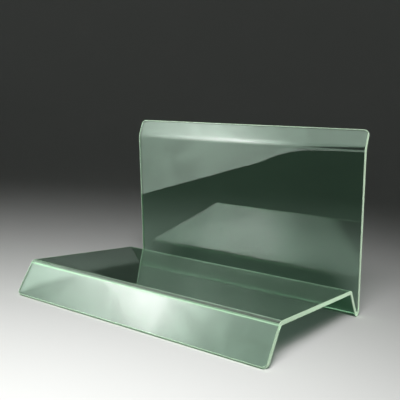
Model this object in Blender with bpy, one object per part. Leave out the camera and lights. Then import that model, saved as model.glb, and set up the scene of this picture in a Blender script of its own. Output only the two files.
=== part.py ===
"""Plate display stand: one acrylic sheet, line-bent across its width.

Going from front to back the sheet makes a front lip that slopes down to the
table, a shelf that falls very slightly to the back, a short drop behind the
shelf, a tight valley that touches the table and holds the foot of a plate, a
tall back panel that leans a little over the valley, and a short top lip that is
turned back. The stand rests on the lower edge of the front lip and on the
underside of the valley.

X runs along the bend lines, +Y points to the back, +Z up. The origin is on the
table, at the middle of the footprint's bounding box. Units are metres.
"""

import math

import bpy
from mathutils import Vector

# ---------------------------------------------------------------- sheet
WIDTH = 0.300            # along the bend lines
THICKNESS = 0.004        # stock sheet
HALF_THICKNESS = THICKNESS / 2.0
CORNER_RADIUS = 0.005    # the four corners of the flat blank

# ---------------------------------------------------------------- facets
FRONT_SEGMENTS = 14         # bend from front lip to shelf
REAR_SEGMENTS = 12          # bend from shelf to drop
VALLEY_SEGMENTS = 27        # bend from drop to back panel
VALLEY_BEFORE_LEVEL = 9.5   # valley facets from the drop to the middle of the level one
TOP_SEGMENTS = 6            # bend from back panel to top lip
CORNER_SEGMENTS = 8         # each rounded corner of the blank
SHARP_ANGLE = math.radians(20.0)   # steeper edges are shaded sharp

# ---------------------------------------------------------------- bends
LIP_SLOPE = math.radians(61.4)      # front lip to the table
SHELF_FALL = math.radians(1.3)      # shelf, down towards the back
PANEL_LEAN = math.radians(7.3)      # back panel forward of upright
TOP_LIP_TURN = math.radians(23.9)   # top lip, turned back from the panel
BEND_RADIUS = 0.002                 # inside radius of all four bends
CENTRE_RADIUS = BEND_RADIUS + HALF_THICKNESS   # bend radius of the centre line

PANEL_SLOPE = math.pi / 2.0 + PANEL_LEAN
# The valley turns by equal steps. The drop's slope, 52.8 degrees, leaves one
# facet exactly level for the stand to rest on.
VALLEY_STEP = PANEL_SLOPE / (VALLEY_SEGMENTS - VALLEY_BEFORE_LEVEL)
DROP_SLOPE = VALLEY_STEP * VALLEY_BEFORE_LEVEL

# ---------------------------------------------------------------- flats
SHELF_HEIGHT = 0.03535   # shelf's upper face above the table, at its front
SHELF_FLAT = 0.1505      # flat part of the shelf, front to back
PANEL_FLAT = 0.1704      # flat part of the back panel, up its slope
TOP_LIP_FLAT = 0.019     # flat part of the top lip, up its slope

# The front lip stands on an eased, level land at the bottom of its cut edge.
REST_LAND = 0.0006
LAND_UP = REST_LAND * math.sin(LIP_SLOPE)      # taken off the cut edge
LAND_ALONG = REST_LAND * math.cos(LIP_SLOPE)   # taken off the underside

# ---------------------------------------------------------------- centre line heights
LIP_END = (HALF_THICKNESS - LAND_UP) * math.cos(LIP_SLOPE)
SHELF_FRONT = SHELF_HEIGHT - HALF_THICKNESS * math.cos(SHELF_FALL)
SHELF_REAR = SHELF_FRONT - SHELF_FLAT * math.sin(SHELF_FALL)
# The bend's axis is above the table by the distance to its level facet.
VALLEY_AXIS = (BEND_RADIUS + THICKNESS) * math.cos(VALLEY_STEP / 2.0)
VALLEY_START = VALLEY_AXIS - CENTRE_RADIUS * math.cos(DROP_SLOPE)


def flat_between(shelf_end, other_end, slope):
    """Length of the sloping flat that joins a shelf end's bend to a lower height."""
    bend_height = CENTRE_RADIUS * (math.cos(SHELF_FALL) - math.cos(slope))
    return (shelf_end - bend_height - other_end) / math.sin(slope)


LIP_FLAT = flat_between(SHELF_FRONT, LIP_END, LIP_SLOPE)
DROP_FLAT = flat_between(SHELF_REAR, VALLEY_START, DROP_SLOPE)


def upper_normal(heading):
    """Direction (Y, Z) out of the sheet's upper face."""
    return Vector((-math.sin(heading), math.cos(heading)))


class SheetPath:
    """Follows the sheet's centre line in (Y, Z), leaving slices across the sheet.

    A heading is an angle up from +Y. Each slice is four (x, y, z) corners:
    upper left, upper right, lower right, lower left, seen from the front.
    """

    def __init__(self, start, heading):
        self.point = Vector(start)
        self.heading = heading
        self.slices = []

    def add_slice(self, half_width=WIDTH / 2.0, under=HALF_THICKNESS):
        """Add a slice here; under is the depth from centre line to underside."""
        normal = upper_normal(self.heading)
        upper = self.point + normal * HALF_THICKNESS
        lower = self.point - normal * under
        self.slices.append([
            (-half_width, *upper),
            (half_width, *upper),
            (half_width, *lower),
            (-half_width, *lower),
        ])

    def flat(self, length, **slice_sizes):
        """Go straight on and add the far slice."""
        direction = Vector((math.cos(self.heading), math.sin(self.heading)))
        self.point = self.point + direction * length
        self.add_slice(**slice_sizes)

    def bend_to(self, heading, segments):
        """Bend to a new heading in equal steps, adding a slice after each."""
        first = self.heading
        turn = heading - first
        # the axis is above the sheet when it folds towards its upper face
        offset = math.copysign(CENTRE_RADIUS, turn)
        axis = self.point + upper_normal(first) * offset
        for i in range(1, segments + 1):
            self.heading = first + turn * i / segments
            self.point = axis - upper_normal(self.heading) * offset
            self.add_slice()


def corner_distances():
    """Distances from a cut end that step evenly round the corner's arc."""
    return [
        CORNER_RADIUS * (1.0 - math.cos(0.5 * math.pi * i / CORNER_SEGMENTS))
        for i in range(CORNER_SEGMENTS + 1)
    ]


def half_width_at(distance):
    """Half width at a distance from a cut end, within its rounded corners."""
    arc_height = math.sqrt(CORNER_RADIUS ** 2 - (CORNER_RADIUS - distance) ** 2)
    return WIDTH / 2.0 - CORNER_RADIUS + arc_height


def add_front_lip(path):
    """Front lip, with two rounded corners and the eased land."""
    reached = 0.0
    for distance in sorted(corner_distances() + [LAND_ALONG]):
        eased = LAND_UP * max(0.0, 1.0 - distance / LAND_ALONG)
        path.flat(
            distance - reached,
            half_width=half_width_at(distance),
            under=HALF_THICKNESS - eased,
        )
        reached = distance
    path.flat(LIP_FLAT - reached)


def add_top_lip(path):
    """Top lip, with the other two rounded corners."""
    remaining = TOP_LIP_FLAT
    for distance in reversed(corner_distances()):
        path.flat(remaining - distance, half_width=half_width_at(distance))
        remaining = distance


def sheet_slices():
    """Slices of the bent sheet from the front lip's cut edge to the top lip's."""
    path = SheetPath(start=(0.0, LIP_END), heading=LIP_SLOPE)
    add_front_lip(path)
    path.bend_to(-SHELF_FALL, FRONT_SEGMENTS)
    path.flat(SHELF_FLAT)
    path.bend_to(-DROP_SLOPE, REAR_SEGMENTS)
    path.flat(DROP_FLAT)
    path.bend_to(PANEL_SLOPE, VALLEY_SEGMENTS)
    path.flat(PANEL_FLAT)
    path.bend_to(PANEL_SLOPE - TOP_LIP_TURN, TOP_SEGMENTS)
    add_top_lip(path)
    return path.slices


def centred_on_y(corners):
    """Slide the corners so their bounding box is centred on Y."""
    depths = [y for _, y, _ in corners]
    middle = (min(depths) + max(depths)) / 2.0
    return [(x, y - middle, z) for x, y, z in corners]


def loft(name, slices):
    """Join four-cornered slices into one closed sheet, faces pointing outwards."""
    verts = centred_on_y([corner for ring in slices for corner in ring])
    last = len(verts) - 4
    faces = [(3, 2, 1, 0), (last, last + 1, last + 2, last + 3)]
    for ring in range(0, last, 4):
        for i in range(4):
            near = ring + i
            beside = ring + (i + 1) % 4
            faces.append((near, beside, beside + 4, near + 4))

    mesh = bpy.data.meshes.new(name)
    mesh.from_pydata(verts, [], faces)
    mesh.update()
    mesh.shade_smooth()
    mesh.set_sharp_from_angle(angle=SHARP_ANGLE)
    return mesh


def acrylic_material():
    """Clear acrylic with a pale green tint."""
    pale_green = (0.62, 0.80, 0.68, 1.0)
    material = bpy.data.materials.new("clear_green_acrylic")
    material.use_nodes = True
    shader_inputs = material.node_tree.nodes["Principled BSDF"].inputs
    settings = {
        "Base Color": pale_green,
        "Metallic": 0.0,
        "Roughness": 0.04,
        "IOR": 1.49,
        "Transmission Weight": 0.9,
    }
    for socket, value in settings.items():
        shader_inputs[socket].default_value = value
    material.diffuse_color = pale_green
    return material


def main():
    for obj in list(bpy.data.objects):
        bpy.data.objects.remove(obj, do_unlink=True)

    name = "bent_acrylic_sheet"
    mesh = loft(name, sheet_slices())
    mesh.materials.append(acrylic_material())
    bpy.context.scene.collection.objects.link(bpy.data.objects.new(name, mesh))


main()
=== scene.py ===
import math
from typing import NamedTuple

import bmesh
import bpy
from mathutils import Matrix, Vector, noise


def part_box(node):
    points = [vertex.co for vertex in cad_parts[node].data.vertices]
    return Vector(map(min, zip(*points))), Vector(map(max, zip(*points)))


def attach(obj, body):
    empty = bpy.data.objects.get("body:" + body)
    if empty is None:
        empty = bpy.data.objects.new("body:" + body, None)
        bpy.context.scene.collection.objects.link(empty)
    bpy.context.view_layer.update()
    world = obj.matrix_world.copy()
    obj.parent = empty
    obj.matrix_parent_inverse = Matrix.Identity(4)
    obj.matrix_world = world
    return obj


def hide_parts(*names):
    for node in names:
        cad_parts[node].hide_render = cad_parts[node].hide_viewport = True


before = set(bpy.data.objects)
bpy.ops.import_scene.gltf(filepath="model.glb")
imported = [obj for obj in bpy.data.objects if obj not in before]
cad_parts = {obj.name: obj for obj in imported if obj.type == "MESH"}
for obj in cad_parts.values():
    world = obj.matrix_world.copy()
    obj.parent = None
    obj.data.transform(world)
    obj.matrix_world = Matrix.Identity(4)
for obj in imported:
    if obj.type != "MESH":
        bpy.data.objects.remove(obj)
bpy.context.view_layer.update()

# Plate display stand: one tinted acrylic sheet, line-bent across its width. The width runs along X and
# the front faces -Y. From the front, a lip rises from the table to a nearly level shelf. Behind it the
# sheet drops to a valley bend on the table, then rises as a panel that leans forward and ends in a
# short top lip, turned back. The sheet is made from its flat blank, with rounded corners, eased cut
# edges and true arcs at the bends.

NODE = "bent_acrylic_sheet"

# ------------------------------------------------------------------ the sheet's dimensions, as in the CAD
WIDTH = 0.300
THICKNESS = 0.004
HALF = THICKNESS / 2.0
CORNER_RADIUS = 0.005
BEND_RADIUS = 0.002                         # on the inner side
NEUTRAL = BEND_RADIUS + HALF                # bend radius of the centre line
TOP_NEUTRAL = 0.017                         # the top bend turns less, and more gently
LIP_SLOPE = math.radians(61.4)
SHELF_FALL = math.radians(1.3)
PANEL_LEAN = math.radians(7.3)
PANEL_SLOPE = math.pi / 2.0 + PANEL_LEAN
TOP_LIP_TURN = math.radians(23.9)
# The CAD valley is an arc of 27 equal chords. The level one stands on the table, with its middle
# 9.5 steps after the drop and 17.5 before the panel.
STEPS_BEFORE, STEPS_AFTER = 9.5, 17.5
DROP_SLOPE = PANEL_SLOPE * STEPS_BEFORE / STEPS_AFTER
SHELF_HEIGHT = 0.03535
SHELF_FLAT = 0.1505
PANEL_FLAT = 0.1704
TOP_LIP_FLAT = 0.019
TOP_SHIFT = (TOP_NEUTRAL - NEUTRAL) * math.tan(TOP_LIP_TURN / 2.0)   # taken off the flats beside it
REST_LAND = 0.0006                          # land at the lip's lower end

# ------------------------------------------------------------------ what only the visible sheet has
EDGE_EASE = 0.00035      # rounding of the polished cut edges
FACE_MARGIN = 0.0004     # strip of flat face beside the eased edge
START_TRIM = 0.00012     # so that the eased lower edge still stands on the table
BULGE = 0.00022          # how far a bend pushes both faces out at the cut edges
BULGE_RIM = 0.010        # width of the strip that bulges
THINNING = 0.05          # share of its distance from the centre line that a bend's outer face loses
BEND_REACH = 0.0025      # how far a bend's effect runs past its ends
FULL_TURN = math.radians(70.0)              # a bend this sharp has the full effect
WAVE = 0.00011           # lazy out-of-flatness of the flats
HEAT_RIPPLE = 0.00007    # ripple beside the bends, where the strip heater softened the sheet
NEAR_BEND = (0.0003, 0.0007, 0.0013)        # extra rows that keep a flat's shading flat

# Segment counts
COLUMNS = 72
EDGE_STEPS = 4
WALL_STEPS = 4
CORNER_STEPS = 9

# Material slots; the last three carry a painted glow along the bends
FACE, CUT_EDGE, DULLED_BEND_GLOW_SLOT, PAINTED_LINE_SLOT, PAINTED_VALLEY_SLOT = range(5)


def unit(heading):
    return Vector((math.cos(heading), math.sin(heading)))


def normal_of(heading):
    return Vector((-math.sin(heading), math.cos(heading)))


def smooth(start, end, x):
    t = max(0.0, min(1.0, (x - start) / (end - start)))
    return t * t * (3.0 - 2.0 * t)


class Part(NamedTuple):
    """A flat or a bend of the centre line."""
    start: float                # distance along the centre line
    length: float
    point: Vector               # where it starts, and its heading there
    heading: float
    steps: int
    turn: float = 0.0           # the rest is for bends only
    radius: float = 0.0         # signed as the turn
    centre: Vector = None


class Profile:
    """The sheet's centre line in the (y, z) plane, measured by the distance along it."""

    def __init__(self):
        rise = math.cos(SHELF_FALL)
        shelf_front = SHELF_HEIGHT - HALF * rise
        shelf_rear = shelf_front - SHELF_FLAT * math.sin(SHELF_FALL)
        lip_end = (HALF - REST_LAND * math.sin(LIP_SLOPE)) * math.cos(LIP_SLOPE)
        lip_rise = shelf_front - NEUTRAL * (rise - math.cos(LIP_SLOPE)) - lip_end
        half_step = 0.5 * PANEL_SLOPE / STEPS_AFTER
        valley_start = (BEND_RADIUS + THICKNESS) * math.cos(half_step) - NEUTRAL * math.cos(DROP_SLOPE)
        drop_fall = shelf_rear - NEUTRAL * (rise - math.cos(DROP_SLOPE)) - valley_start
        front_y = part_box(NODE)[0][1]

        self.parts = []
        self.length = 0.0
        self.point = Vector((front_y + HALF * math.sin(LIP_SLOPE), lip_end))
        self.heading = LIP_SLOPE
        self.flat(lip_rise / math.sin(LIP_SLOPE), steps=9)
        self.bend(-LIP_SLOPE - SHELF_FALL, NEUTRAL, steps=36)
        self.flat(SHELF_FLAT, steps=34)
        self.bend(SHELF_FALL - DROP_SLOPE, NEUTRAL, steps=30)
        self.flat(drop_fall / math.sin(DROP_SLOPE), steps=8)
        self.bend(DROP_SLOPE + math.pi / 2.0 + PANEL_LEAN, NEUTRAL, steps=72)
        self.flat(PANEL_FLAT - TOP_SHIFT, steps=38)
        self.bend(-TOP_LIP_TURN, TOP_NEUTRAL, steps=26)
        self.flat(TOP_LIP_FLAT - TOP_SHIFT, steps=6)
        self.bends = [part for part in self.parts if part.centre is not None]

    def flat(self, length, steps):
        self.parts.append(Part(self.length, length, self.point, self.heading, steps))
        self.point = self.point + unit(self.heading) * length
        self.length += length

    def bend(self, turn, radius, steps):
        radius = math.copysign(radius, turn)
        length = turn * radius
        centre = self.point + normal_of(self.heading) * radius
        self.parts.append(
            Part(self.length, length, self.point, self.heading, steps, turn, radius, centre)
        )
        self.heading += turn
        self.point = centre - normal_of(self.heading) * radius
        self.length += length

    def at(self, along):
        """Centre line point and heading."""
        for part in self.parts:
            if along <= part.start + part.length:
                break
        past = along - part.start
        if part.centre is None:
            return part.point + unit(part.heading) * past, part.heading
        heading = part.heading + part.turn * max(0.0, min(1.0, past / part.length))
        return part.centre - normal_of(heading) * part.radius, heading

    def stations(self, first, last):
        """Distances along the centre line, close together in the bends."""
        found = []
        for part in self.parts:
            rows = [part.start + part.length * i / part.steps for i in range(part.steps)]
            if part.centre is None:
                rows += [part.start + gap for gap in NEAR_BEND]
                rows += [part.start + part.length - gap for gap in NEAR_BEND]
            found += [row for row in rows if first < row < last]
        return sorted(found)

    def bend_share(self, along):
        """1 in the middle of a sharp bend, falling to 0 past its ends; and which way it turns."""
        best, side = 0.0, 0.0
        for bend in self.bends:
            reach = bend.length / 2.0 + BEND_REACH
            share = 1.0 - smooth(0.35, 1.0, abs(along - bend.start - bend.length / 2.0) / reach)
            share *= min(1.0, abs(bend.turn) / FULL_TURN)
            if share > best:
                best, side = share, math.copysign(1.0, bend.turn)
        return best, side

    def out_of_flat(self, along, x):
        """How far the sheet's middle surface stands off its ideal place."""
        away = min(abs(along - (bend.start + bend.length / 2.0)) for bend in self.bends)
        # a broad and a finer wave, calmed near the bends and both ends
        lazy = noise.noise(Vector((x * 6.0, along * 7.0, 3.1)))
        lazy += 0.4 * noise.noise(Vector((x * 15.0, along * 13.0, 9.4)))
        calm = smooth(0.004, 0.030, away) * smooth(0.0, 0.012, along)
        calm *= smooth(0.0, 0.008, self.length - along)
        # the ripple fades away from a bend and varies a little across the width
        ripple = math.exp(-(max(0.0, away - 0.004) / 0.011) ** 2)
        ripple *= 0.9 + 0.25 * noise.noise(Vector((x * 14.0, 0.3, 1.7)))
        return WAVE * lazy * calm + HEAT_RIPPLE * ripple


def edge_levels():
    """(inset, offset from the centre line) of each ring, from the upper face round the edge to the
    underside."""
    upper = [(EDGE_EASE + FACE_MARGIN, HALF)]
    for i in range(EDGE_STEPS + 1):
        angle = 0.5 * math.pi * i / EDGE_STEPS
        upper.append(
            (EDGE_EASE * (1.0 - math.sin(angle)), HALF - EDGE_EASE * (1.0 - math.cos(angle)))
        )
    top = HALF - EDGE_EASE
    wall = [(0.0, top + (-top - top) * i / WALL_STEPS) for i in range(1, WALL_STEPS)]
    return upper + wall + [(inset, -offset) for inset, offset in reversed(upper)]


class SheetBuilder:
    """Rings run round the blank's rounded rectangle, and a grid closes each face. Every point of the
    blank is carried to its place on the bent profile."""

    def __init__(self):
        self.profile = Profile()
        front, rear, valley = self.profile.bends[:3]
        # painted light lines along the bends, whitened and glowing, in place of the bright lines that
        # light makes there: (place, strength, half width, slot)
        self.painted_light_lines = (
            (front.start + 0.0003, 0.36, 0.00042, PAINTED_LINE_SLOT),
            (front.start + front.length - 0.0003, 0.40, 0.00042, PAINTED_LINE_SLOT),
            (rear.start + 0.0003, 0.32, 0.00038, PAINTED_LINE_SLOT),
            (valley.start + valley.length / 2.0, 1.0, 0.00150, PAINTED_VALLEY_SLOT),
        )
        self.dulled = [(bend.start, bend.start + bend.length) for bend in (front, rear)]
        self.first, self.last = START_TRIM, self.profile.length
        self.middle = self.profile.stations(self.first + CORNER_RADIUS, self.last - CORNER_RADIUS)
        self.bm = bmesh.new()
        # mask of the painted light lines
        self.painted_line_mask = self.bm.verts.layers.float.new("painted_highlight_line")
        self.dull = self.bm.verts.layers.float.new("bend_dulled")

    def rows(self, inset):
        """(distance along, half width) of each row of a ring this far inside the blank's outline."""
        radius = CORNER_RADIUS - inset
        corner = []
        for i in range(CORNER_STEPS + 1):
            angle = 0.5 * math.pi * i / CORNER_STEPS
            corner.append((
                inset + radius * (1.0 - math.cos(angle)),
                WIDTH / 2.0 - inset - radius * (1.0 - math.sin(angle)),
            ))
        return (
            [(self.first + depth, half_width) for depth, half_width in corner]
            + [(along, WIDTH / 2.0 - inset) for along in self.middle]
            + [(self.last - depth, half_width) for depth, half_width in reversed(corner)]
        )

    def place(self, along, x, offset):
        point, heading = self.profile.at(along)
        share, side = self.profile.bend_share(along)
        rim = smooth(WIDTH / 2.0 - BULGE_RIM, WIDTH / 2.0, abs(x))
        x += math.copysign(BULGE * share * rim * offset / HALF, x)
        offset *= 1.0 - THINNING * share * (0.5 - 0.5 * side * offset / HALF)
        point = point + normal_of(heading) * (offset + self.profile.out_of_flat(along, x))
        vert = self.bm.verts.new((x, point.x, point.y))
        vert[self.painted_line_mask] = max(
            strength * math.exp(-((along - line) / half) ** 2)
            for line, strength, half, _ in self.painted_light_lines
        )
        vert[self.dull] = max(
            smooth(-0.0004, 0.0002, along - start) * smooth(-0.0004, 0.0002, end - along)
            for start, end in self.dulled
        )
        return vert

    def ring(self, inset, offset):
        """The ring's front, right, back and left vertices, in order round the blank."""
        rows = self.rows(inset)

        def across(row, direction):
            along, half_width = row
            return [
                self.place(along, half_width * direction * (2.0 * j / COLUMNS - 1.0), offset)
                for j in range(COLUMNS + 1)
            ]

        front = across(rows[0], 1.0)
        right = [self.place(along, half_width, offset) for along, half_width in rows[1:-1]]
        back = across(rows[-1], -1.0)
        left = [self.place(along, -half_width, offset) for along, half_width in reversed(rows[1:-1])]
        return front, right, back, left

    def slot_at(self, along):
        for line, _, half, slot in self.painted_light_lines:
            if abs(along - line) < 0.8 * half:
                return slot
        return DULLED_BEND_GLOW_SLOT if any(start < along < end for start, end in self.dulled) else FACE

    def close(self, ring, inset, offset, upward):
        """A grid over one face, on the ring's own vertices."""
        front, right, back, left = ring
        rows = self.rows(inset)
        grid = [front]
        for (along, half_width), at_left, at_right in zip(rows[1:-1], left[::-1], right):
            inner = [
                self.place(along, half_width * (2.0 * j / COLUMNS - 1.0), offset)
                for j in range(1, COLUMNS)
            ]
            grid.append([at_left] + inner + [at_right])
        grid.append(back[::-1])
        for i, (near, far) in enumerate(zip(grid, grid[1:])):
            slot = self.slot_at((rows[i][0] + rows[i + 1][0]) / 2.0)
            for j in range(COLUMNS):
                quad = (near[j], near[j + 1], far[j + 1], far[j])
                face = self.bm.faces.new(quad if upward else quad[::-1])
                face.material_index = slot

    def mesh(self, name):
        levels = edge_levels()
        rings = [self.ring(*level) for level in levels]
        loops = [front + right + back + left for front, right, back, left in rings]
        count = len(loops[0])
        for upper, lower in zip(loops, loops[1:]):
            for i in range(count):
                after = (i + 1) % count
                face = self.bm.faces.new((upper[i], upper[after], lower[after], lower[i]))
                face.material_index = CUT_EDGE
        self.close(rings[0], *levels[0], upward=True)
        self.close(rings[-1], *levels[-1], upward=False)
        bmesh.ops.recalc_face_normals(self.bm, faces=self.bm.faces[:])
        return smooth_mesh(name, self.bm)


def smooth_mesh(name, bm):
    mesh = bpy.data.meshes.new(name)
    bm.to_mesh(mesh)
    bm.free()
    mesh.shade_smooth()
    return mesh


# ------------------------------------------------------------------ materials
class Nodes:
    """Builds the node tree of a material or light. A node given as a value stands for its first output."""

    def __init__(self, owner):
        owner.use_nodes = True
        self.tree = owner.node_tree
        self.tree.nodes.clear()

    def plug(self, socket, value):
        if isinstance(value, bpy.types.Node):
            value = value.outputs[0]
        if isinstance(value, bpy.types.NodeSocket):
            self.tree.links.new(value, socket)
        else:
            socket.default_value = value

    def add(self, kind, *inputs, **named):
        """Positional values go to the inputs in order, named ones to settings or inputs."""
        node = self.tree.nodes.new("ShaderNode" + kind)
        for key, value in named.items():
            if key in node.bl_rna.properties:
                setattr(node, key, value)
            else:
                self.plug(node.inputs[key.replace("_", " ")], value)
        for i, value in enumerate(inputs):
            self.plug(node.inputs[i], value)
        return node

    def math(self, operation, first, second, clamp=False):
        return self.add("Math", first, second, operation=operation, use_clamp=clamp)

    def remap(self, value, source, target):
        """Maps the source range of a value to the target range."""
        return self.add("MapRange", value, *source, *target)

    def mix(self, factor, first, second):
        node = self.add("Mix", factor, data_type="RGBA")
        self.plug(node.inputs[6], first)
        self.plug(node.inputs[7], second)
        return node.outputs[2]

    def bell(self, squared):
        """Bell curve of a distance that is already squared."""
        return self.math("POWER", 2.718281828, self.math("MULTIPLY", squared, -1.0))

    def ramp(self, value, stops):
        node = self.add("ValToRGB", Fac=value)
        elements = node.color_ramp.elements
        while len(elements) > 1:
            elements.remove(elements[-1])
        elements[0].position, elements[0].color = stops[0]
        for position, colour in stops[1:]:
            elements.new(position).color = colour
        return node


TINT_LIGHT = (0.54, 0.67, 0.60, 1.0)
TINT_DEEP = (0.49, 0.63, 0.55, 1.0)
EDGE_LIGHT = (0.76, 0.93, 0.74, 1.0)
EDGE_DEEP = (0.62, 0.82, 0.62, 1.0)
# painted light: the white of the painted highlight lines and the green of the painted glow
PAINTED_HIGHLIGHT_WHITE = (0.78, 0.93, 0.80, 1.0)
PAINTED_GLOW_GREEN = (0.62, 0.95, 0.65, 1.0)
SHADOW_TINT = (0.30, 0.37, 0.33, 1.0)


def drifting_tint(nodes, coords, light, deep):
    """The tint drifts a little from place to place, as a cast sheet's does."""
    drift = nodes.add("TexNoise", Vector=coords, Scale=9.0, Detail=2.0, Roughness=0.5)
    return nodes.mix(drift, light, deep)


def acrylic_output(nodes, height, distance, painted_glow, **look):
    """Tinted glass. The emission strength passed in is a painted glow, which stands in for light that runs
    inside the sheet and gets out there.
    """
    bump = nodes.add("Bump", Strength=1.0, Distance=distance, Height=height)
    glass = nodes.add(
        "BsdfPrincipled", IOR=1.49, Normal=bump, Coat_Roughness=0.012, Coat_IOR=1.65,
        Coat_Tint=(0.97, 1.0, 0.975, 1.0), Emission_Color=PAINTED_GLOW_GREEN, Emission_Strength=painted_glow, **look,
    )
    # light falls through the sheet onto what is behind it
    clear = nodes.add("BsdfTransparent", Color=SHADOW_TINT)
    shadow_ray = nodes.add("LightPath").outputs["Is Shadow Ray"]
    surface = nodes.add("MixShader", shadow_ray, glass, clear)
    body = nodes.add("VolumeAbsorption", Color=(0.50, 0.86, 0.62, 1.0), Density=8.0)
    nodes.add("OutputMaterial", Surface=surface, Volume=body)


def face_material(name, painted_glow):
    """The sheet's polished faces, with their bends and the painted light lines along them."""
    mat = bpy.data.materials.new(name)
    nodes = Nodes(mat)
    coords = nodes.add("TexCoord").outputs["Object"]
    tint = drifting_tint(nodes, coords, TINT_LIGHT, TINT_DEEP)
    # painted highlight: a faint whitened, less clear line along a bend, in place of the bright line that
    # light makes there
    painted_line_mask = nodes.add("Attribute", attribute_name="painted_highlight_line").outputs["Fac"]
    tint = nodes.mix(painted_line_mask, tint, PAINTED_HIGHLIGHT_WHITE)
    clearness = nodes.math("SUBTRACT", 1.0, nodes.math("MULTIPLY", painted_line_mask, 0.4))
    # the stretched outer skin of a bend is less glossy than the flats
    skin = nodes.add("Attribute", attribute_name="bend_dulled").outputs["Fac"]
    coat = nodes.remap(skin, (0.0, 1.0), (0.6, 0.0))
    shine = nodes.remap(skin, (0.0, 1.0), (0.5, 0.14))

    # wiped smudges: broad soft patches, broken up by finer streaks
    patch = nodes.add(
        "TexNoise", Vector=coords, Scale=17.0, Detail=3.0, Roughness=0.55, Distortion=0.6
    )
    streak_space = nodes.add(
        "Mapping", Vector=coords, Scale=(12.0, 150.0, 150.0), Rotation=(0.0, 0.12, 0.3)
    )
    streak = nodes.add("TexNoise", Vector=streak_space, Scale=1.0, Detail=3.0, Roughness=0.6)
    smudge = nodes.math(
        "MULTIPLY",
        nodes.remap(patch, (0.46, 0.78), (0.0, 1.0)),
        nodes.remap(streak, (0.35, 0.7), (0.2, 1.0)),
    )

    # hairline scratches from cleaning, in two directions
    hairs = []
    for turn, scale in ((0.35, 420.0), (-0.9, 530.0)):
        space = nodes.add(
            "Mapping", Vector=coords, Rotation=(0.2, turn, turn), Scale=(7.0, scale, scale)
        )
        line = nodes.add("TexNoise", Vector=space, Scale=1.0, Detail=1.0, Roughness=0.4)
        hairs.append(nodes.remap(line, (0.70, 0.78), (0.0, 1.0)))
    scratches = nodes.math("MAXIMUM", *hairs)

    # almost mirror-smooth, roughened by smudges and scratches
    rough = nodes.math("ADD", 0.012, nodes.math("MULTIPLY", smudge, 0.045))
    rough = nodes.math("ADD", rough, nodes.math("MULTIPLY", scratches, 0.05))
    # a broad swell in the surface, with the scratches cut slightly in
    swell = nodes.add("TexNoise", Vector=coords, Scale=26.0, Detail=1.0, Roughness=0.4)
    height = nodes.math(
        "ADD", nodes.math("MULTIPLY", swell, 1.0), nodes.math("MULTIPLY", scratches, -0.002)
    )
    acrylic_output(
        nodes, height, distance=0.00002, painted_glow=painted_glow, Base_Color=tint, Roughness=rough,
        Transmission_Weight=clearness, Coat_Weight=coat, Specular_IOR_Level=shine,
    )
    return mat


def edge_material(name):
    """The cut edge. The cutter's fine marks survive the polishing."""
    mat = bpy.data.materials.new(name)
    nodes = Nodes(mat)
    coords = nodes.add("TexCoord").outputs["Object"]
    tint = drifting_tint(nodes, coords, EDGE_LIGHT, EDGE_DEEP)
    cut_space = nodes.add("Mapping", Vector=coords, Scale=(1100.0, 900.0, 900.0))
    cut = nodes.add("TexNoise", Vector=cut_space, Scale=1.0, Detail=2.0, Roughness=0.7)
    rough = nodes.math("ADD", 0.10, nodes.math("MULTIPLY", cut, 0.10))
    height = nodes.math("MULTIPLY", cut, 0.6)
    acrylic_output(
        nodes, height, distance=0.00004, painted_glow=0.0, Base_Color=tint, Roughness=rough,
        Transmission_Weight=0.35, Coat_Weight=0.0, Specular_IOR_Level=0.5,
    )
    return mat


def floor_material():
    mat = bpy.data.materials.new("pale_floor")
    nodes = Nodes(mat)
    coords = nodes.add("TexCoord").outputs["Object"]
    cloud = nodes.add("TexNoise", Vector=coords, Scale=2.5, Detail=3.0)
    colour = nodes.mix(cloud, (0.70, 0.71, 0.69, 1.0), (0.74, 0.745, 0.73, 1.0))
    grain = nodes.add("TexNoise", Vector=coords, Scale=900.0, Detail=2.0)
    bump = nodes.add("Bump", Strength=0.12, Distance=0.0002, Height=grain)
    matte = nodes.add(
        "BsdfPrincipled", Base_Color=colour, Roughness=0.8, Specular_IOR_Level=0.15, Normal=bump
    )
    nodes.add("OutputMaterial", Surface=matte)
    return mat


def painted_reflection_material():
    """Painted reflection: a dark matte surface with a dim green glow, which only reflections see, in place
    of shade and green light mirrored in the panel.
    """
    mat = bpy.data.materials.new("painted_reflection_card")
    nodes = Nodes(mat)
    coords = nodes.add("TexCoord").outputs["Object"]
    glow_unevenness = nodes.add("TexNoise", Vector=coords, Scale=5.0, Detail=2.0)
    glow = nodes.ramp(glow_unevenness, [(0.3, (0.05, 0.13, 0.072, 1.0)), (0.7, (0.075, 0.175, 0.10, 1.0))])
    painted_shade_glow = nodes.add(
        "BsdfPrincipled", Roughness=1.0, Base_Color=(0.01, 0.012, 0.01, 1.0),
        Emission_Strength=1.0, Emission_Color=glow,
    )
    mirrored = nodes.math("MINIMUM", nodes.add("LightPath").outputs["Glossy Depth"], 1.0)
    surface = nodes.add("MixShader", mirrored, nodes.add("BsdfTransparent"), painted_shade_glow)
    nodes.add("OutputMaterial", Surface=surface)
    return mat


# ------------------------------------------------------------------ the sheet
scene = bpy.context.scene
sheet = bpy.data.objects.new("acrylic_sheet", SheetBuilder().mesh("acrylic_sheet"))
for material in (       # in the order of the material slots
    face_material("clear_green_acrylic", painted_glow=0.0),
    edge_material("polished_cut_edge"),
    # painted glow in the bends: emission in place of light there; these faces are also less glossy
    face_material("dulled_bend_painted_glow", painted_glow=0.10),
    # painted light lines, whitened and glowing
    face_material("painted_highlight_line", painted_glow=0.48),
    face_material("painted_valley_glow", painted_glow=0.70),
):
    sheet.data.materials.append(material)
scene.collection.objects.link(sheet)
keep_flat = sheet.modifiers.new("keep_flats_flat", "WEIGHTED_NORMAL")
keep_flat.mode = "FACE_AREA"
keep_flat.weight = 80
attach(sheet, "root")
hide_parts(NODE)

# ------------------------------------------------------------------ floor and backdrop
table_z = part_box(NODE)[0][2]


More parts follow.
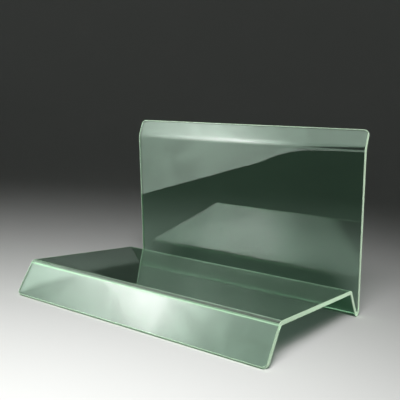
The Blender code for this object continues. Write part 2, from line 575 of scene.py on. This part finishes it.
def bowl_mesh(name, flat_radius, bend_radius, wall_height, around=160, flat_steps=10, bend_steps=16):
    """A round studio sweep: level floor that curves up into a wall all round, so no horizon shows."""
    outline = [(flat_radius * (i / flat_steps), 0.0) for i in range(1, flat_steps + 1)]
    for i in range(1, bend_steps + 1):
        angle = 0.5 * math.pi * i / bend_steps
        outline.append(
            (flat_radius + bend_radius * math.sin(angle), bend_radius * (1.0 - math.cos(angle)))
        )
    outline.append((flat_radius + bend_radius, bend_radius + wall_height))
    turns = [2.0 * math.pi * i / around for i in range(around)]
    bm = bmesh.new()
    rings = [
        [bm.verts.new((radius * math.cos(turn), radius * math.sin(turn), z)) for turn in turns]
        for radius, z in outline
    ]
    middle = bm.verts.new((0.0, 0.0, 0.0))
    for i in range(around):
        bm.faces.new((middle, rings[0][i], rings[0][(i + 1) % around]))
    for inner, outer in zip(rings, rings[1:]):
        for i in range(around):
            after = (i + 1) % around
            bm.faces.new((inner[i], outer[i], outer[after], inner[after]))
    return smooth_mesh(name, bm)


floor = bpy.data.objects.new(
    "floor", bowl_mesh("floor", flat_radius=1.6, bend_radius=0.9, wall_height=1.2)
)
floor.location = (0.0, 0.0, table_z - 0.0001)
floor.data.materials.append(floor_material())
scene.collection.objects.link(floor)


# ------------------------------------------------------------------ light
def light_group(name, member):
    """A collection for light linking."""
    group = bpy.data.collections.new(name)
    scene.collection.children.link(group)
    group.objects.link(member)
    return group


def pose(right, up, back, location):
    matrix = Matrix((right, up, back)).transposed().to_4x4()
    matrix.translation = Vector(location)
    return matrix


def softbox(name, location, towards, width, height, only,
            radiance=1.0, colour=(1.0, 1.0, 1.0), spread=180.0):
    """A rectangular soft light that lights only the collection `only`."""
    data = bpy.data.lights.new(name, "AREA")
    data.shape = "RECTANGLE"
    data.size, data.size_y = width, height
    data.energy = radiance * 4.0 * width * height
    data.color = colour
    data.spread = math.radians(spread)
    back = (Vector(location) - Vector(towards)).normalized()
    right = Vector((0.0, 0.0, 1.0)).cross(back).normalized()
    lamp = bpy.data.objects.new(name, data)
    lamp.matrix_world = pose(right, back.cross(right), back, location)
    lamp.visible_camera = False
    scene.collection.objects.link(lamp)
    lamp.light_linking.receiver_collection = only
    return lamp


sheet_only = light_group("sheet_only", sheet)
studio_only = light_group("studio_only", floor)

# front softbox: lights the floor round the stand, and falls off behind it
softbox("floor_softbox", (0.40, -0.86, 0.80), (0.06, -0.37, 0.0), width=0.55, height=0.45,
        only=studio_only, radiance=4.2, spread=74.0)

# a small softbox to the right brings out the cut edges that face it
softbox("edge_softbox", (0.80, 0.20, 0.40), (0.15, 0.0, 0.06), width=0.5, height=0.5,
        only=sheet_only, radiance=7.0, colour=(0.96, 1.0, 0.93))


def ceiling_softbox():
    """An overhead softbox with two brighter tubes in it: only the bends mirror it, as light lines."""
    tube_places, tube_reach = (-0.46, 0.32), 0.12       # in y
    tube_gain, base_level = 1.2, 0.7
    lamp = softbox("ceiling_softbox", (-0.60, -0.75, 1.05), (-0.60, -0.749, 0.0), width=1.9,
                   height=3.0, only=sheet_only, colour=(0.95, 1.0, 0.95))
    nodes = Nodes(lamp.data)
    y = nodes.add("SeparateXYZ", Vector=nodes.add("NewGeometry")).outputs[1]
    tubes = []
    for tube_y in tube_places:
        away = nodes.math("DIVIDE", nodes.math("SUBTRACT", y, tube_y), tube_reach)
        tubes.append(nodes.bell(nodes.math("MULTIPLY", away, away)))
    level = nodes.math("MULTIPLY", nodes.math("ADD", *tubes), tube_gain)
    level = nodes.math("ADD", level, base_level)
    # dims towards its front end
    level = nodes.math("MULTIPLY", level, nodes.remap(y, (-2.2, -0.95), (0.0, 1.0)))
    nodes.add("OutputLight", nodes.add("Emission", Strength=level))


ceiling_softbox()

# The softbox that the lip, the panel and the bends mirror stands on the floor to the front left
box_start, box_way = Vector((-0.383, -0.156, 0.0)), Vector((0.148, -0.422, 0.0))
box_unit = box_way.normalized()
first_end, last_end = box_start - 0.5 * box_way, box_start + 1.9 * box_way
facing_in = Vector((-box_unit.y, box_unit.x, 0.0))


def mirrored_softbox(box_height=0.95):
    """Brightest at the lamp behind its cloth and dimmer towards its rim."""
    centre = (first_end + last_end) / 2.0 + Vector((0.0, 0.0, box_height / 2.0))
    lamp = softbox("mirrored_softbox", centre, centre + facing_in,
                   width=(last_end - first_end).length, height=box_height, only=sheet_only)
    nodes = Nodes(lamp.data)
    here = nodes.add("NewGeometry")

    def glow(along, height, reach):
        """Round glow, this far along the softbox's foot and this high."""
        spot = box_start + along * box_unit + Vector((0.0, 0.0, height))
        away = nodes.add("VectorMath", here, tuple(spot), operation="DISTANCE").outputs["Value"]
        return nodes.bell(nodes.math("POWER", nodes.math("DIVIDE", away, reach), 2.0))

    cloth = nodes.add("TexNoise", Vector=here, Scale=8.0, Detail=4.0, Distortion=2.0)
    wide = glow(along=0.205, height=0.31, reach=0.17)
    hot = glow(along=0.262, height=0.262, reach=0.045)
    # both glows over an even level, made uneven by the cloth
    level = nodes.math(
        "ADD", nodes.math("MULTIPLY", wide, 3.9), nodes.math("MULTIPLY", hot, 1.5)
    )
    level = nodes.math("ADD", level, 0.92)
    level = nodes.math("MULTIPLY", level, nodes.remap(cloth, (0.36, 0.64), (0.87, 1.13)))
    # a little dimmer at the foot
    z = nodes.add("SeparateXYZ", Vector=here).outputs[2]
    level = nodes.math("MULTIPLY", level, nodes.remap(z, (0.0, 0.15), (0.90, 1.16)))
    # its far end is a slanted edge, which the shelf's image in the panel shows
    end_along, end_slant = 0.340, 0.65
    along = nodes.add("VectorMath", here, tuple(box_unit), operation="DOT_PRODUCT").outputs["Value"]
    along = nodes.math("SUBTRACT", along, box_start.dot(box_unit) + end_along)
    past_end = nodes.math("SUBTRACT", along, nodes.math("MULTIPLY", z, end_slant))
    end = nodes.math(
        "MAXIMUM",
        nodes.remap(past_end, (-0.010, 0.014), (1.0, 0.08)),
        nodes.remap(z, (0.12, 0.20), (1.0, 0.0)),
    )
    level = nodes.math("MULTIPLY", level, end)
    # green cloth, whiter in the glow
    halo = glow(along=0.205, height=0.31, reach=0.21)
    whiteness = nodes.math("ADD", halo, hot, clamp=True)
    colour = nodes.mix(whiteness, (0.75, 1.0, 0.82, 1.0), (0.985, 1.0, 0.97, 1.0))
    nodes.add("OutputLight", nodes.add("Emission", Color=colour, Strength=level))


mirrored_softbox()


def painted_reflection_card(depth=0.62, lift=0.0004):
    """A card on the floor between that softbox and the stand, seen only in reflections, paints shade into
    the panel below it, with a dim green glow.
    """
    inward = facing_in * depth
    corners = (first_end, last_end, last_end + inward, first_end + inward)
    mesh = bpy.data.meshes.new("painted_reflection_card")
    mesh.from_pydata([(p.x, p.y, table_z + lift) for p in corners], [], [(0, 1, 2, 3)])
    card = bpy.data.objects.new("painted_reflection_card", mesh)
    mesh.materials.append(painted_reflection_material())
    card.visible_camera = False
    card.visible_diffuse = False
    card.visible_shadow = False
    scene.collection.objects.link(card)


painted_reflection_card()

world = bpy.data.worlds.new("studio")
scene.world = world
world.use_nodes = True
background = world.node_tree.nodes["Background"]
background.inputs["Color"].default_value = (0.045, 0.048, 0.046, 1.0)
background.inputs["Strength"].default_value = 1.0

# ------------------------------------------------------------------ camera
AZIMUTH, ELEVATION, ROLL = math.radians(32.7412), math.radians(6.0414), math.radians(3.7976)
CAMERA_PLACE = (0.346984, -0.480393, 0.171756)


def add_camera():
    back = Vector((
        math.sin(AZIMUTH) * math.cos(ELEVATION),
        -math.cos(AZIMUTH) * math.cos(ELEVATION),
        math.sin(ELEVATION),
    ))
    right = Vector((math.cos(AZIMUTH), math.sin(AZIMUTH), 0.0))
    up = back.cross(right)
    rolled_right = right * math.cos(ROLL) + up * math.sin(ROLL)
    rolled_up = up * math.cos(ROLL) - right * math.sin(ROLL)
    data = bpy.data.cameras.new("camera")
    data.sensor_width = 36.0
    data.lens = 51.4747
    data.shift_x = -0.065
    data.shift_y = 0.0125
    data.clip_start, data.clip_end = 0.01, 50.0
    camera = bpy.data.objects.new("camera", data)
    camera.matrix_world = pose(rolled_right, rolled_up, back, CAMERA_PLACE)
    scene.collection.objects.link(camera)
    scene.camera = camera


add_camera()

# ------------------------------------------------------------------ render settings
scene.view_settings.view_transform = "Standard"
scene.view_settings.look = "None"
if hasattr(scene, "cycles"):        # only where the Cycles add-on is enabled
    cycles = scene.cycles
    cycles.use_denoising = True
    cycles.use_adaptive_sampling = False
    cycles.caustics_refractive = False
    cycles.caustics_reflective = False
    cycles.max_bounces = 24
    cycles.transmission_bounces = 20
    cycles.glossy_bounces = 12
    cycles.transparent_max_bounces = 16
    cycles.blur_glossy = 0.0
    cycles.sample_clamp_indirect = 3.0

bpy.context.view_layer.update()
